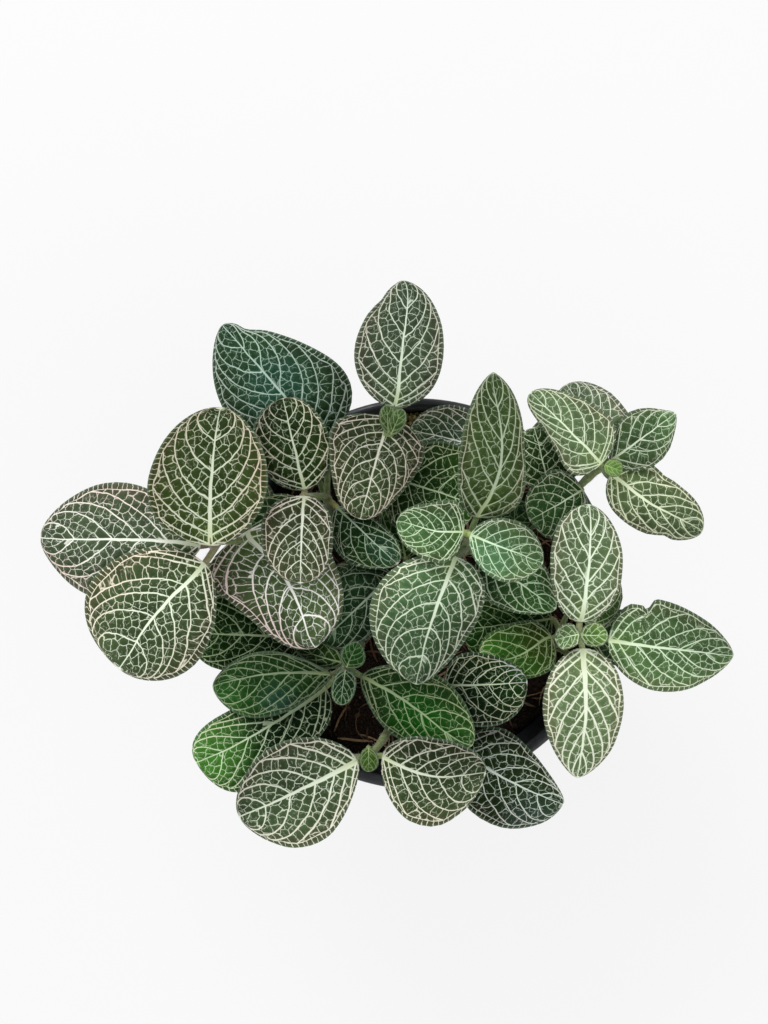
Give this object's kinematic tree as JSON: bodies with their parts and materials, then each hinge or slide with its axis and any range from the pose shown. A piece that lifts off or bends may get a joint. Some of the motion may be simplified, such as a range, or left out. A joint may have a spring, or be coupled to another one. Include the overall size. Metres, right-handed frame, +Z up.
{
  "type": "potted nerve plant",
  "caption": "Leafy nerve plant with pale-veined rounded leaves on upright stems, in a round black nursery pot filled with dark soil.",
  "frame": {"origin": "centre of the pot's flat base, on the surface it stands on", "axes": "+Z up along the pot's axis, +Y towards the leaves at the top of the picture, +X to the right"},
  "size_m": [0.255, 0.2038, 0.1937],
  "materials": {
    "pot_plastic": "satin black nursery plastic",
    "soil": "dark fibrous potting mix with coconut fibre",
    "foliage": "soft living leaf, dark green with pale net veins, and green hairy stems"
  },
  "bodies": {
    "root": {"pot": "pot_plastic", "soil": "soil", "stem_left": "foliage", "stem_upper_left": "foliage", "stem_back": "foliage", "stem_centre": "foliage", "stem_right": "foliage", "stem_upper_right": "foliage", "stem_front": "foliage", "stem_lower_left": "foliage", "stem_inner": "foliage", "stem_lower_right": "foliage", "stem_back_right": "foliage"}
  },
  "joints": []
}
